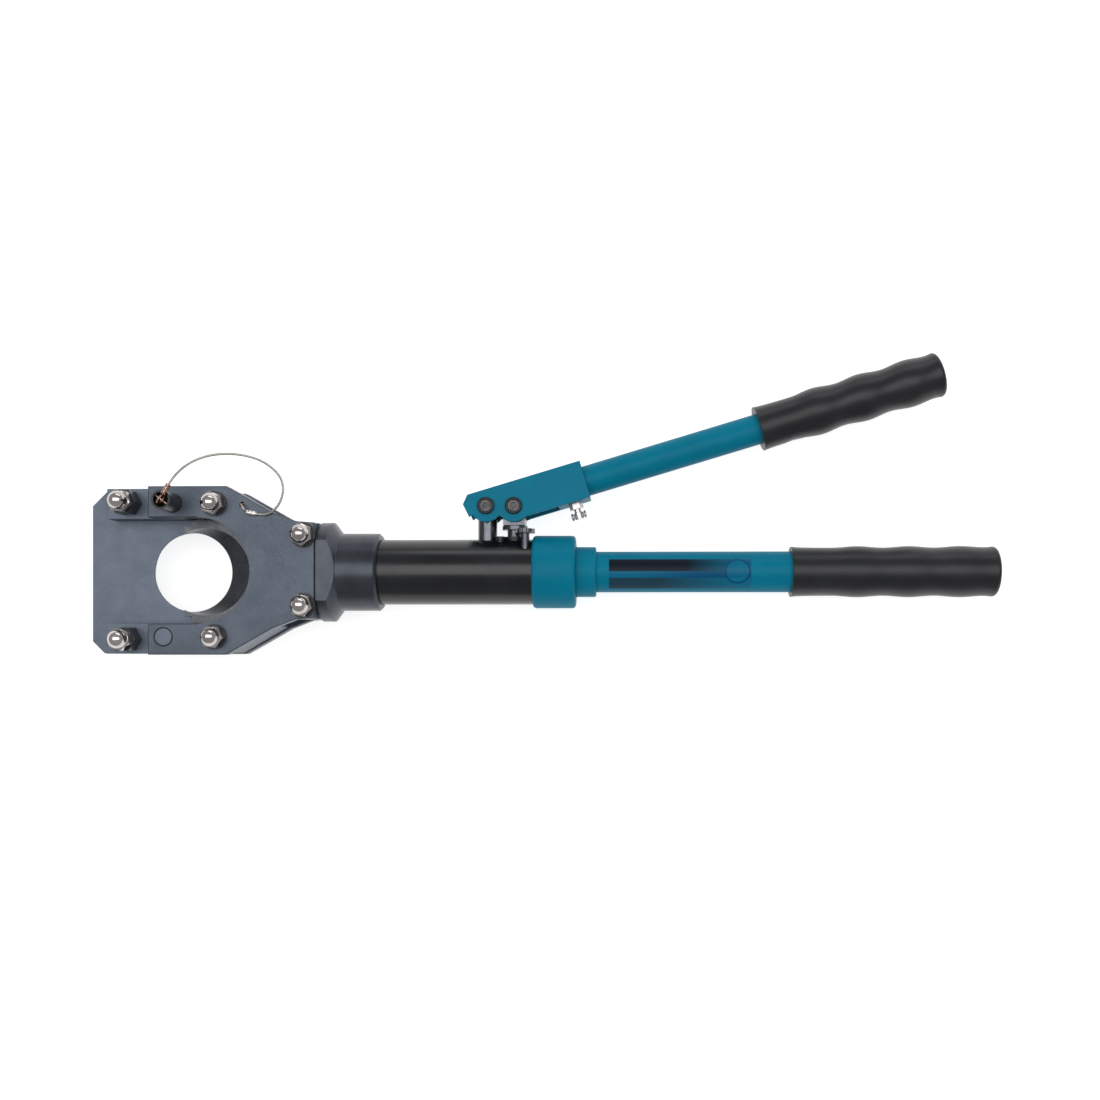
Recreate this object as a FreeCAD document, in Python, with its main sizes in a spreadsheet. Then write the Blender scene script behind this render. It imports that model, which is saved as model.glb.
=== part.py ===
import FreeCAD, Part
import Sketcher
import math
import os
import re

# Hand-pumped hydraulic cable cutter, in millimetres.
# Tool frame: X runs from the jaw to the grip along the cylinder's axis, Y points to the pump
# lever, Z points up from the bench that the tool lies on. Its zero is the centre of the cutting
# opening, on the cylinder's axis. Every finished piece is then moved to the row's own origin,
# on the bench under the middle of the tool.

doc = FreeCAD.newDocument("CableCutter")
sheet = doc.addObject("Spreadsheet::Sheet", "Sizes")

sizes = {
    # row origin, in the tool frame
    "centreAlong": 229.6, "centreAcross": 44.047, "benchDrop": 32.9,
    # head plates
    "headHalf": 54, "plateOuter": 26, "plateThick": 10, "plateEnd": 86.7, "armEnd": -20.5,
    "armInner": 34, "throatCentre": 11, "slopeStart": 30, "slopeMid": 60, "slopeMidHalf": 37,
    "slopeEnd": 74, "slopeEndHalf": 31.5, "plateEndHalf": 30.5,
    "boltRadius": 4, "boltHole": 4.1, "railBoltX": 22.5, "railBoltY": 42.5,
    "neckBoltX": 79.5, "neckBoltY": 22.5, "railStart": 12, "railEnd": 59, "railOuter": 53,
    "edgeBreak": 0.6,
    # jaw that the lock pin holds shut
    "jawEnd": -67, "jawHalf": 53.5, "jawCornerTop": 9.5, "jawCornerLow": 8, "jawThick": 15.8,
    "openingRadius": 26, "jawMouth": 2.8, "lugEndTop": 7, "lugEndLow": 0.5, "lugRound": 9,
    "barStart": -51, "barThick": 15.6, "jawBoltX": -36.5, "jawBoltY": 44,
    "pinX": -4.5, "pinY": 43, "pinRadius": 6, "pinFit": 0.08, "pinTop": 47, "pinHollow": 4.7,
    "pinHollowDepth": 16, "pinTip": 29, "pivotX": -10.5, "pivotY": 42.5, "pivotRadius": 6,
    # moving blade
    "bladeGap": 0.3, "bladeThick": 9.7, "bladeTip": -2.4, "bladeHorn": 29.3, "bladeHalf": 33.6,
    "hornEnd": 2.4, "bladeWide": 3.4, "bladeBack": 58, "tangHalf": 9, "tangEnd": 80,
    "bevelCentre": 11.8, "bevelRadius": 28.5, "bladePinX": 72, "bladePinRadius": 4,
    # nuts and bolts
    "nutFlat": 6.5, "nutHex": 6.5, "nutDome": 5.4, "washerRadius": 8, "washerThick": 1.6,
    "boltHead": 5.3, "spacerRadius": 7.4,
    # neck, cylinder and ram
    "tongueStart": 66, "tongueHalf": 31, "tongueThick": 15.9, "flangeStart": 87.2,
    "flangeRadius": 32.5, "coneStart": 94.3, "coneEnd": 99.6, "neckRadius": 25.4, "neckEnd": 125.3,
    "flatHeight": 26, "rodRadius": 14, "rodFit": 0.06, "rodStart": 62, "rodSlotEnd": 83,
    "wiperStart": 100, "wiperRadius": 17, "socketStart": 106, "barrelRadius": 21.3,
    "boreRadius": 17.5, "barrelEnd": 236, "pistonStart": 168, "pistonEnd": 182, "pistonSpigot": 11.5,
    "ramBore": 8.5, "ramBoreStart": 88, "sealWidth": 4, "sealDepth": 2.6,
    "springRadius": 6, "springWire": 1, "springTurns": 22, "springStart": 90, "springEnd": 180,
    # pump block and what stands on it
    "blockStart": 184.5, "blockEnd": 240, "plungerX": 213, "plungerRadius": 5, "plungerBottom": -2,
    "pinLine": 42.3, "fulcrumX": 195, "fulcrumRadius": 6.2, "eyeHalf": 9.6, "leverPin": 3,
    "pinRun": 0.06, "eyeRadius": 7, "eyeSlot": 1.8, "eyeSlack": 0.25, "discRadius": 8.3,
    "discLow": 27.4, "discHigh": 30, "glandRadius": 8, "glandTop": 22.8, "glandBody": 7,
    "knobX": 220.5, "knobZ": 13, "knobRadius": 6.4, "knobLow": 24.4, "knobHigh": 27.2,
    "spindleRadius": 2.8, "spindleBottom": 3, "bleedX": 204, "bleedZ": 7.5, "bleedRadius": 2.2,
    "ballRadius": 2.4, "ballChamber": 2.7, "passage": 1.5, "deliveryBallX": 197, "suctionBallX": 227,
    "passageY": -5,
    # rear collar, adapter, handle
    "collarStart": 224.9, "collarEnd": 253, "collarRadius": 23.8, "collarRound": 2,
    "adapterSeat": 240, "adapterSpigot": 15, "adapterRadius": 16.4, "adapterEnd": 266.3,
    "tubeStart": 246, "tubeRadius": 13.35, "tubeWall": 2.5, "tubeEnd": 519,
    "gripStart": 393.1, "gripEnd": 526.2, "gripRadius": 15.7, "gripWave": 0.5, "gripFlare": 0.7,
    "bladderStart": 258, "bladderEnd": 388, "bladderRadius": 10, "bladderWall": 1.6,
    # lever, in its own frame: zero at the fulcrum, X along the lever
    "leverAngle": 16.7, "pinPitch": 18, "yokeTop": 10.4, "yokeBottom": -14, "yokeEnd": 66.5,
    "sheet": 2.5, "yokeInner": 10, "lobeRadius": 10.3, "leverTube": 9.9, "leverTubeLine": -2,
    "leverTubeStart": 31, "leverTubeEnd": 301, "leverGripStart": 184.5, "leverGripEnd": 307.5,
    "leverGripRadius": 13.9, "leverGripWave": 0.75, "strapStart": 45, "wingX": 56,
    "wingNutLow": -18, "wingStem": 2.3, "wingHead": -20.4, "wingLow": -25, "wingHub": 3,
    # lanyard
    "wireRadius": 0.75, "ferruleRadius": 1.7, "lanyardHoleX": 40.5, "lanyardHoleY": 42,
    "lanyardHole": 1.9,
}
for row, (alias, value) in enumerate(sizes.items(), 1):
    sheet.set(f"A{row}", alias)
    sheet.set(f"B{row}", str(value))
    sheet.setAlias(f"B{row}", alias)
doc.recompute()

nodes = []


def formula(text):
    """Write the sheet's name before each alias in an expression."""
    def name(match):
        word = match.group()
        return f"Sizes.{word}" if word in sizes else word
    return re.sub(r"[A-Za-z]\w*", name, str(text))


def bind(thing, prop, text):
    thing.setExpression(prop, formula(text))


gauge = doc.addObject("App::FeaturePython", "Gauge")
gauge.addProperty("App::PropertyFloat", "Reading")


def number(text):
    """The value of an expression of aliases, for shapes that Part's own functions make."""
    bind(gauge, "Reading", text)
    gauge.recompute()
    return gauge.Reading


def vector(x, y, z):
    return FreeCAD.Vector(number(x), number(y), number(z))


def seat(thing, x, y, z):
    for letter, text in zip("xyz", (x, y, z)):
        bind(thing, f"Placement.Base.{letter}", text)


turn_to = {
    "x": FreeCAD.Rotation(FreeCAD.Vector(0, 1, 0), 90),
    "y": FreeCAD.Rotation(FreeCAD.Vector(1, 0, 0), -90),
    "z": FreeCAD.Rotation(),
}


def rod(axis, radius, start, end, u="0", v="0"):
    """A cylinder along an axis; u and v are its other two coordinates, in X, Y, Z order."""
    cylinder = doc.addObject("Part::Cylinder", "rod")
    bind(cylinder, "Radius", radius)
    bind(cylinder, "Height", f"({end}) - ({start})")
    cylinder.Placement.Rotation = turn_to[axis]
    seat(cylinder, *{"x": (start, u, v), "y": (u, start, v), "z": (u, v, start)}[axis])
    return cylinder


def block(x0, x1, y0, y1, z0, z1):
    box = doc.addObject("Part::Box", "block")
    bind(box, "Length", f"({x1}) - ({x0})")
    bind(box, "Width", f"({y1}) - ({y0})")
    bind(box, "Height", f"({z1}) - ({z0})")
    seat(box, x0, y0, z0)
    return box


def fuse(*shapes):
    union = doc.addObject("Part::MultiFuse", "union")
    union.Shapes = list(shapes)
    return union


def cut(base, *tools):
    result = doc.addObject("Part::Cut", "cut")
    result.Base = base
    result.Tool = tools[0] if len(tools) == 1 else fuse(*tools)
    return result


def group(*shapes):
    together = doc.addObject("Part::Compound", "group")
    together.Links = list(shapes)
    return together


def plane_of(body, role):
    return [item for item in body.Origin.OriginFeatures if item.Role == role][0]


def outline(body, role, points, lift="0"):
    """A closed sketch of straight sides whose corners are bound to the sheet."""
    sketch = body.newObject("Sketcher::SketchObject", "outline")
    sketch.AttachmentSupport = [(plane_of(body, role), "")]
    sketch.MapMode = "FlatFace"
    bind(sketch, "AttachmentOffset.Base.z", lift)
    places = [FreeCAD.Vector(number(x), number(y), 0) for x, y in points]
    count = len(points)
    for i in range(count):
        sketch.addGeometry(Part.LineSegment(places[i], places[(i + 1) % count]))
    for i in range(count):
        sketch.addConstraint(Sketcher.Constraint("Coincident", i, 2, (i + 1) % count, 1))
    for i, (x, y) in enumerate(points):
        for kind, text, value in (("DistanceX", x, places[i].x), ("DistanceY", y, places[i].y)):
            at = sketch.addConstraint(Sketcher.Constraint(kind, -1, 1, i, 1, value))
            bind(sketch, f"Constraints[{at}]", text)
    return sketch


def plate(points, low, thick, rounds=(), edge_break=None):
    """A flat piece lying in the XY plane. rounds holds (x, y, radius) of upright corners."""
    body = doc.addObject("PartDesign::Body", "plate")
    sketch = outline(body, "XY_Plane", points, low)
    feature = body.newObject("PartDesign::Pad", "pad")
    feature.Profile = sketch
    bind(feature, "Length", thick)
    doc.recompute()
    for x, y, radius in rounds:
        feature = fillet_upright(body, feature, x, y, radius)
    if edge_break:
        faces = [f"Face{i + 1}" for i, face in enumerate(feature.Shape.Faces)
                 if abs(face.normalAt(0, 0).z) > 0.99]
        chamfer = body.newObject("PartDesign::Chamfer", "edges")
        chamfer.Base = (feature, faces)
        bind(chamfer, "Size", edge_break)
        doc.recompute()
    return body


def fillet_upright(body, feature, x, y, radius):
    place = (number(x), number(y))
    names = []
    for i, edge in enumerate(feature.Shape.Edges):
        ends = [vertex.Point for vertex in edge.Vertexes]
        if len(ends) == 2 and all(math.dist((p.x, p.y), place) < 0.01 for p in ends):
            names.append(f"Edge{i + 1}")
    fillet = body.newObject("PartDesign::Fillet", "corner")
    fillet.Base = (feature, names)
    bind(fillet, "Radius", radius)
    doc.recompute()
    return fillet


def turned(points, about="x"):
    """A turned piece. points are (along, radius) for X, and (radius, along) for Y or Z."""
    body = doc.addObject("PartDesign::Body", "turned")
    sketch = outline(body, "XZ_Plane" if about == "z" else "XY_Plane", points)
    feature = body.newObject("PartDesign::Revolution", "revolution")
    feature.Profile = sketch
    feature.ReferenceAxis = (sketch, ["H_Axis" if about == "x" else "V_Axis"])
    feature.Angle = 360
    doc.recompute()
    return body


def tube_points(outer, inner, start, end, break_by="edgeBreak"):
    return [(start, inner), (start, f"({outer}) - {break_by}"), (f"({start}) + {break_by}", outer),
            (f"({end}) - {break_by}", outer), (end, f"({outer}) - {break_by}"), (end, inner)]


def hexagon(flat, low, high, x="0", y="0"):
    """A hexagonal prism along Z with its outer corners turned off."""
    prism = doc.addObject("Part::Prism", "prism")
    prism.Polygon = 6
    bind(prism, "Circumradius", f"({flat}) / cos(30)")
    bind(prism, "Height", f"({high}) - ({low})")
    seat(prism, x, y, low)
    return prism


def solid(shape):
    feature = doc.addObject("Part::Feature", "made")
    feature.Shape = Part.Compound([shape])
    return feature


def node(name, thing, frame="tool"):
    """Name a finished piece and move it to the row's origin."""
    thing.Label = name
    if frame == "lever":
        thing.Placement.Rotation = FreeCAD.Rotation(FreeCAD.Vector(0, 0, 1), sizes["leverAngle"])
        bind(thing, "Placement.Rotation.Angle", "leverAngle * 1deg")
        seat(thing, "fulcrumX - centreAlong", "pinLine - centreAcross", "benchDrop")
    else:
        seat(thing, "-centreAlong", "-centreAcross", "benchDrop")
    nodes.append(thing)


# ---- head ----

def head_plate(name, low, holes):
    points = [("armEnd", "armInner"), ("armEnd", "headHalf"), ("slopeStart", "headHalf"),
              ("slopeMid", "slopeMidHalf"), ("slopeEnd", "slopeEndHalf"),
              ("plateEnd", "plateEndHalf"), ("plateEnd", "-plateEndHalf"),
              ("slopeEnd", "-slopeEndHalf"), ("slopeMid", "-slopeMidHalf"),
              ("slopeStart", "-headHalf"), ("armEnd", "-headHalf"), ("armEnd", "-armInner"),
              ("throatCentre", "-armInner"), ("throatCentre", "armInner")]
    flat = plate(points, low, "plateThick", edge_break="edgeBreak")
    high = f"{low} + plateThick"
    throat = rod("z", "armInner", low, high, "throatCentre", "0")
    tools = [rod("z", radius, low, high, x, y) for x, y, radius in holes]
    node(name, cut(flat, throat, *tools))


plate_holes = [(x, f"{side}{y}", "boltHole") for x, y in (("railBoltX", "railBoltY"),
                                                        ("neckBoltX", "neckBoltY"))
               for side in ("", "-")]
pin_holes = [("pinX", "pinY", "pinRadius + pinFit"), ("pivotX", "-pivotY", "pivotRadius")]
head_plate("front_plate", "plateOuter - plateThick",
           plate_holes + pin_holes + [("lanyardHoleX", "lanyardHoleY", "lanyardHole")])
head_plate("rear_plate", "-plateOuter", plate_holes + pin_holes)


def rails():
    low, high = "-(plateOuter - plateThick)", "plateOuter - plateThick"
    for name, side in (("upper_rail", ""), ("lower_rail", "-")):
        inner = f"{side}armInner"
        bar = plate([("railStart", inner), ("railEnd", inner), ("railEnd", f"{side}(armInner + 2)"),
                     ("slopeStart", f"{side}railOuter"), ("railStart", f"{side}railOuter")],
                    low, f"2 * ({high})")
        node(name, cut(bar, rod("z", "boltHole", low, high, "railBoltX", f"{side}railBoltY")))


rails()


def jaw():
    points = [("jawEnd + jawCornerTop", "jawHalf"), ("jawEnd", "jawHalf - jawCornerTop"),
              ("jawEnd", "-(jawHalf - jawCornerLow)"), ("jawEnd + jawCornerLow", "-jawHalf"),
              ("lugEndLow", "-jawHalf"), ("lugEndLow", "-armInner"), ("jawMouth", "-armInner"),
              ("jawMouth", "armInner"), ("lugEndTop", "armInner"), ("lugEndTop", "jawHalf")]
    rounds = [("lugEndTop", "jawHalf", "lugRound"), ("lugEndLow", "-jawHalf", "lugRound")]
    flat = plate(points, "-jawThick", "jawThick", rounds)
    bolt_holes = [rod("z", "boltHole", "-jawThick", "0", "jawBoltX", f"{side}jawBoltY")
                  for side in ("", "-")]
    opening = rod("z", "openingRadius", "-jawThick", "0")
    # the cutting edge is ground from the back, so its flat face meets the moving blade
    bevel = doc.addObject("Part::Cone", "bevel")
    bind(bevel, "Radius1", "openingRadius + 5")
    bind(bevel, "Radius2", "openingRadius")
    bind(bevel, "Height", "jawThick - 2")
    seat(bevel, "0", "0", "-jawThick")
    node("fixed_jaw", cut(flat, opening, bevel, *bolt_holes,
                          rod("z", "pinRadius + pinFit", "-jawThick", "0", "pinX", "pinY"),
                          rod("z", "pivotRadius", "-jawThick", "0", "pivotX", "-pivotY")))


jaw()


def jaw_bars():
    top = [("barStart", "armInner"), ("lugEndTop", "armInner"), ("lugEndTop", "jawHalf"),
           ("barStart", "jawHalf")]
    low = [("barStart", "-jawHalf"), ("lugEndLow", "-jawHalf"), ("lugEndLow", "-armInner"),
           ("barStart", "-armInner")]
    upper = plate(top, "0", "barThick", [("lugEndTop", "armInner", "lugRound"),
                                         ("lugEndTop", "jawHalf", "lugRound")])
    node("upper_jaw_bar", cut(upper, rod("z", "pinRadius + pinFit", "0", "barThick", "pinX", "pinY"),
                              rod("z", "boltHole", "0", "barThick", "jawBoltX", "jawBoltY")))
    lower = plate(low, "0", "barThick", [("lugEndLow", "-jawHalf", "lugRound")])
    node("lower_jaw_bar", cut(lower, rod("z", "pivotRadius", "0", "barThick", "pivotX", "-pivotY"),
                              rod("z", "boltHole", "0", "barThick", "jawBoltX", "-jawBoltY")))


jaw_bars()


def moving_blade():
    points = [("bladeTip", "bladeHorn"), ("hornEnd", "bladeHorn"), ("bladeWide", "bladeHalf"),
              ("bladeBack", "bladeHalf"), ("bladeBack + 2", "tangHalf"), ("tangEnd", "tangHalf")]
    mirrored = [(x, f"-{y}") for x, y in reversed(points)]
    flat = plate(points + mirrored, "bladeGap", "bladeThick")
    # ground bevel: from the edge's circle at the back to a wider, offset one at the front
    edge = Part.Wire(Part.makeCircle(number("openingRadius"), FreeCAD.Vector(0, 0, number("bladeGap"))))
    land = Part.Wire(Part.makeCircle(number("bevelRadius"), FreeCAD.Vector(
        number("bevelCentre"), 0, number("bladeGap + bladeThick"))))
    bevel = solid(Part.makeLoft([edge, land], True))
    node("moving_blade", cut(flat, bevel, rod("z", "openingRadius", "bladeGap", "1.0"),
                             rod("z", "bladePinRadius", "bladeGap", "bladeGap + bladeThick",
                                 "bladePinX")))


moving_blade()


def lock_pin():
    body = rod("z", "pinRadius", "-pinTip", "pinTop", "pinX", "pinY")
    hollow = rod("z", "pinHollow", "pinTop - pinHollowDepth", "pinTop", "pinX", "pinY")
    # a bar through the hollow end, and the bight of wire that is looped under it
    outward = FreeCAD.Vector(0.61, 0.79, 0).normalize()
    across = FreeCAD.Vector(outward.y, -outward.x, 0)
    reach = number("pinRadius") - 0.1
    bar = Part.makeCylinder(0.9, 2 * reach, vector("pinX", "pinY", "pinTop - 2.6") - across * reach,
                            across)
    bight = Part.makeTorus(3.4, 0.6, vector("pinX", "pinY", "pinTop - 0.1") + outward * 0.5, across)
    node("lock_pin", cut(body, hollow, solid(bar)))
    node("pin_eye", solid(bar.fuse(bight)))

lock_pin()
node("jaw_pivot_pin", group(rod("z", "pivotRadius", "-plateOuter", "plateOuter",
                                "pivotX", "-pivotY")))


# ---- nuts and bolts ----

def dome_nut(x, y, base):
    """An acorn nut: a hexagon with a domed cap, bored blind from below."""
    hexes = hexagon("nutFlat", base, f"{base} + nutHex", x, y)
    dome = doc.addObject("Part::Ellipsoid", "dome")
    bind(dome, "Radius1", "nutDome + 1.6")
    bind(dome, "Radius2", "nutFlat - 0.9")
    bind(dome, "Radius3", "nutFlat - 0.9")
    dome.Angle1 = 0
    seat(dome, x, y, f"{base} + nutHex")
    thread = rod("z", "boltRadius", base, f"{base} + nutHex + 2", x, y)
    return cut(fuse(hexes, dome), thread)


def bolts():
    low = "-plateOuter - washerThick"
    places = [(x, f"{side}{y}") for x, y in (("railBoltX", "railBoltY"), ("neckBoltX", "neckBoltY"))
              for side in ("", "-")]
    jaw_places = [("jawBoltX", "jawBoltY"), ("jawBoltX", "-jawBoltY")]
    top = "plateOuter + washerThick + nutHex"
    shanks = [fuse(rod("z", "boltRadius", low, top, x, y),
                   hexagon("nutFlat", f"{low} - boltHead", low, x, y)) for x, y in places]
    node("plate_bolts", group(*shanks))
    ring = [cut(rod("z", "washerRadius", z, f"{z} + washerThick", x, y),
                rod("z", "boltRadius", z, f"{z} + washerThick", x, y))
            for z in ("-plateOuter - washerThick", "plateOuter") for x, y in places]
    node("plate_washers", group(*ring))
    node("plate_dome_nuts", group(*[dome_nut(x, y, "plateOuter + washerThick") for x, y in places]))
    jaw_low = "-jawThick"
    jaw_top = "plateOuter + washerThick"
    shanks = [fuse(rod("z", "boltRadius", jaw_low, f"{jaw_top} + nutHex", x, y),
                   hexagon("nutFlat", f"{jaw_low} - boltHead", jaw_low, x, y))
              for x, y in jaw_places]
    node("jaw_bolts", group(*shanks))
    spacers = [cut(hexagon("spacerRadius", "barThick", jaw_top, x, y),
                   rod("z", "boltRadius", "barThick", jaw_top, x, y)) for x, y in jaw_places]
    node("jaw_spacer_nuts", group(*spacers))
    node("jaw_dome_nuts", group(*[dome_nut(x, y, jaw_top) for x, y in jaw_places]))


bolts()


# ---- neck, cylinder and ram ----

def neck():
    shell = turned([("flangeStart", "rodRadius + rodFit"), ("flangeStart", "flangeRadius"),
                    ("coneStart", "flangeRadius"), ("coneEnd", "neckRadius"),
                    ("neckEnd - 1.5", "neckRadius"), ("neckEnd", "neckRadius - 1.5"),
                    ("neckEnd", "barrelRadius"), ("socketStart", "barrelRadius"),
                    ("socketStart", "wiperRadius"), ("wiperStart", "wiperRadius"),
                    ("wiperStart", "rodRadius + rodFit")])
    tongue = block("tongueStart", "flangeStart", "-tongueHalf", "tongueHalf",
                   "-tongueThick", "tongueThick")
    flats = [block("flangeStart", "neckEnd", "-flangeRadius", "flangeRadius", low, high)
             for low, high in (("flatHeight", "flangeRadius"), ("-flangeRadius", "-flatHeight"))]
    holes = [rod("z", "boltHole", "-tongueThick", "tongueThick", "neckBoltX", f"{side}neckBoltY")
             for side in ("", "-")]
    bore = rod("x", "rodRadius + rodFit", "tongueStart", "flangeStart")
    node("neck", cut(fuse(shell, tongue), bore, *flats, *holes))
    node("rod_wiper", turned(tube_points("wiperRadius", "rodRadius + rodFit", "wiperStart",
                                         "socketStart", "0.3")))


neck()


def cylinder_parts():
    tube = turned(tube_points("barrelRadius", "boreRadius", "socketStart", "barrelEnd"))
    holes = [rod("y", "glandBody", "0", "barrelRadius + 1", "plungerX"),
             rod("y", "fulcrumRadius", "0", "barrelRadius + 1", "fulcrumX"),
             rod("y", "spindleRadius + 0.1", "0", "barrelRadius", "knobX", "knobZ"),
             rod("y", "bleedRadius", "0", "barrelRadius", "bleedX", "bleedZ")]
    node("barrel", cut(tube, *holes))
    shaft = rod("x", "rodRadius", "rodStart", "pistonStart")
    spigot = rod("x", "pistonSpigot", "pistonStart", "pistonEnd")
    slot = block("rodStart", "rodSlotEnd", "-rodRadius", "rodRadius", "0", "bladeGap + bladeThick + 0.3")
    node("ram", cut(fuse(shaft, spigot), slot, rod("x", "ramBore", "ramBoreStart", "pistonEnd"),
                    rod("z", "bladePinRadius", "-rodRadius", "rodRadius", "bladePinX")))
    node("blade_pin", group(rod("z", "bladePinRadius", "-rodRadius + 1", "rodRadius - 1",
                                "bladePinX")))
    groove = "(pistonStart + pistonEnd) / 2 - sealWidth / 2"
    bottom = "boreRadius - 0.08 - sealDepth"
    node("piston", turned([("pistonStart", "pistonSpigot"), ("pistonStart", "boreRadius - 0.08"),
                           (groove, "boreRadius - 0.08"), (groove, bottom),
                           (f"{groove} + sealWidth", bottom),
                           (f"{groove} + sealWidth", "boreRadius - 0.08"),
                           ("pistonEnd", "boreRadius - 0.08"), ("pistonEnd", "pistonSpigot")]))
    node("piston_seal", turned([(groove, bottom), (groove, "boreRadius - 0.05"),
                                (f"{groove} + sealWidth", "boreRadius - 0.05"),
                                (f"{groove} + sealWidth", bottom)]))


cylinder_parts()


def return_spring():
    pitch = number("(springEnd - springStart) / springTurns")
    helix = Part.makeHelix(pitch, number("springEnd - springStart"), number("springRadius"))
    start = FreeCAD.Vector(number("springRadius"), 0, 0)
    section = Part.Wire(Part.makeCircle(number("springWire"), start, FreeCAD.Vector(
        0, 2 * math.pi * number("springRadius"), pitch)))
    coil = Part.Wire(helix).makePipeShell([section], True, True)
    coil.rotate(FreeCAD.Vector(), FreeCAD.Vector(0, 1, 0), 90)
    coil.translate(FreeCAD.Vector(number("springStart"), 0, 0))
    node("return_spring", solid(coil))


return_spring()


# ---- pump ----

def pump():
    body = rod("x", "boreRadius", "blockStart", "blockEnd")
    tools = [rod("y", "plungerRadius + pinRun", "plungerBottom - 6", "boreRadius", "plungerX"),
             rod("y", "glandBody", "10", "boreRadius", "plungerX"),
             rod("y", "fulcrumRadius", "4", "boreRadius", "fulcrumX"),
             rod("y", "spindleRadius + 0.1", "spindleBottom", "boreRadius", "knobX", "knobZ"),
             rod("y", "bleedRadius", "8", "boreRadius", "bleedX", "bleedZ"),
             rod("x", "passage", "blockStart", "blockEnd", "passageY"),
             rod("x", "ballChamber", "deliveryBallX - 1.9", "deliveryBallX + 5", "passageY"),
             rod("x", "ballChamber", "suctionBallX - 5", "suctionBallX + 1.9", "passageY")]
    node("pump_block", cut(body, *tools))
    for name, place in (("delivery_ball", "deliveryBallX"), ("suction_ball", "suctionBallX")):
        ball = doc.addObject("Part::Sphere", "ball")
        bind(ball, "Radius", "ballRadius")
        seat(ball, place, "passageY", "0")
        node(name, group(ball))
    post = fuse(rod("y", "fulcrumRadius", "4", "pinLine", "fulcrumX"),
                rod("z", "fulcrumRadius", "-eyeHalf", "eyeHalf", "fulcrumX", "pinLine"))
    node("fulcrum_post", cut(post, rod("z", "leverPin + pinRun", "-eyeHalf", "eyeHalf",
                                       "fulcrumX", "pinLine")))
    gland = fuse(rod("y", "glandBody", "10", "glandTop", "plungerX"),
                 rod("y", "glandRadius", "barrelRadius", "glandTop", "plungerX"))
    node("plunger_gland", cut(gland, rod("y", "plungerRadius + pinRun", "10", "glandTop", "plungerX")))
    eye = fuse(rod("y", "plungerRadius", "plungerBottom", "discHigh", "plungerX"),
               rod("y", "discRadius", "discLow", "discHigh", "plungerX"),
               block("plungerX - eyeRadius", "plungerX + eyeRadius", "discHigh", "pinLine",
                     "-eyeHalf", "eyeHalf"),
               rod("z", "eyeRadius", "-eyeHalf", "eyeHalf", "plungerX", "pinLine"))
    # the eye is slotted, because the lever's pin moves on an arc and the plunger in a line
    hole = "leverPin + eyeSlack"
    slot = fuse(rod("z", hole, "-eyeHalf", "eyeHalf", "plungerX - eyeSlot", "pinLine"),
                rod("z", hole, "-eyeHalf", "eyeHalf", "plungerX + 0.2", "pinLine"),
                block("plungerX - eyeSlot", "plungerX + 0.2", f"pinLine - {hole}",
                      f"pinLine + {hole}", "-eyeHalf", "eyeHalf"))
    node("plunger", cut(eye, slot))
    knob = fuse(rod("y", "knobRadius", "knobLow", "knobHigh", "knobX", "knobZ"),
                rod("y", "spindleRadius", "spindleBottom + 0.3", "knobLow", "knobX", "knobZ"))
    # finger notches round the rim
    notches = [rod("y", "0.9", "knobLow", "knobHigh", f"knobX + knobRadius * cos({angle})",
                   f"knobZ + knobRadius * sin({angle})") for angle in range(0, 360, 36)]
    node("release_knob", cut(knob, *notches))
    screw = fuse(rod("y", "bleedRadius", "8", "barrelRadius + 1.4", "bleedX", "bleedZ"),
                 rod("y", "bleedRadius + 0.9", "barrelRadius - 0.4", "barrelRadius + 1.4",
                     "bleedX", "bleedZ"))
    node("bleed_screw", cut(screw, rod("y", "1.2", "barrelRadius", "barrelRadius + 1.4",
                                       "bleedX", "bleedZ")))


pump()


# ---- rear collar and handle ----

def handle():
    collar = turned([("collarStart", "barrelRadius"), ("collarStart", "collarRadius - collarRound"),
                     ("collarStart + 0.3 * collarRound", "collarRadius - 0.3 * collarRound"),
                     ("collarStart + collarRound", "collarRadius"),
                     ("collarEnd - collarRound", "collarRadius"),
                     ("collarEnd - 0.3 * collarRound", "collarRadius - 0.3 * collarRound"),
                     ("collarEnd", "collarRadius - collarRound"), ("collarEnd", "adapterSpigot"),
                     ("adapterSeat", "adapterSpigot"), ("adapterSeat", "barrelRadius")])
    node("rear_collar", collar)
    node("handle_adapter", turned([("adapterSeat", "tubeRadius - tubeWall"),
                                   ("adapterSeat", "adapterSpigot"), ("collarEnd", "adapterSpigot"),
                                   ("collarEnd", "adapterRadius"), ("adapterEnd - 0.8", "adapterRadius"),
                                   ("adapterEnd", "adapterRadius - 0.8"), ("adapterEnd", "tubeRadius"),
                                   ("tubeStart", "tubeRadius"), ("tubeStart", "tubeRadius - tubeWall")]))
    node("handle_tube", turned([("tubeStart", "tubeRadius - tubeWall"), ("tubeStart", "tubeRadius"),
                                ("tubeEnd", "tubeRadius"), ("tubeEnd", "tubeRadius - tubeWall")]))
    inner = "bladderRadius - bladderWall"
    node("oil_bladder", turned([("bladderStart", inner), ("bladderStart", "bladderRadius"),
                                ("bladderEnd - 3", "bladderRadius"), ("bladderEnd", "bladderRadius - 3"),
                                ("bladderEnd", "0"), ("bladderEnd - bladderWall", "0"),
                                ("bladderEnd - bladderWall", "bladderRadius - 4"),
                                ("bladderEnd - 3", inner)]))
    node("bladder_plug", turned([("bladderStart - 6", "2"), ("bladderStart - 6", "tubeRadius - tubeWall"),
                                 ("bladderStart", "tubeRadius - tubeWall"), ("bladderStart", inner),
                                 ("bladderStart + 12", inner), ("bladderStart + 12", "2")]))


handle()


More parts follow.
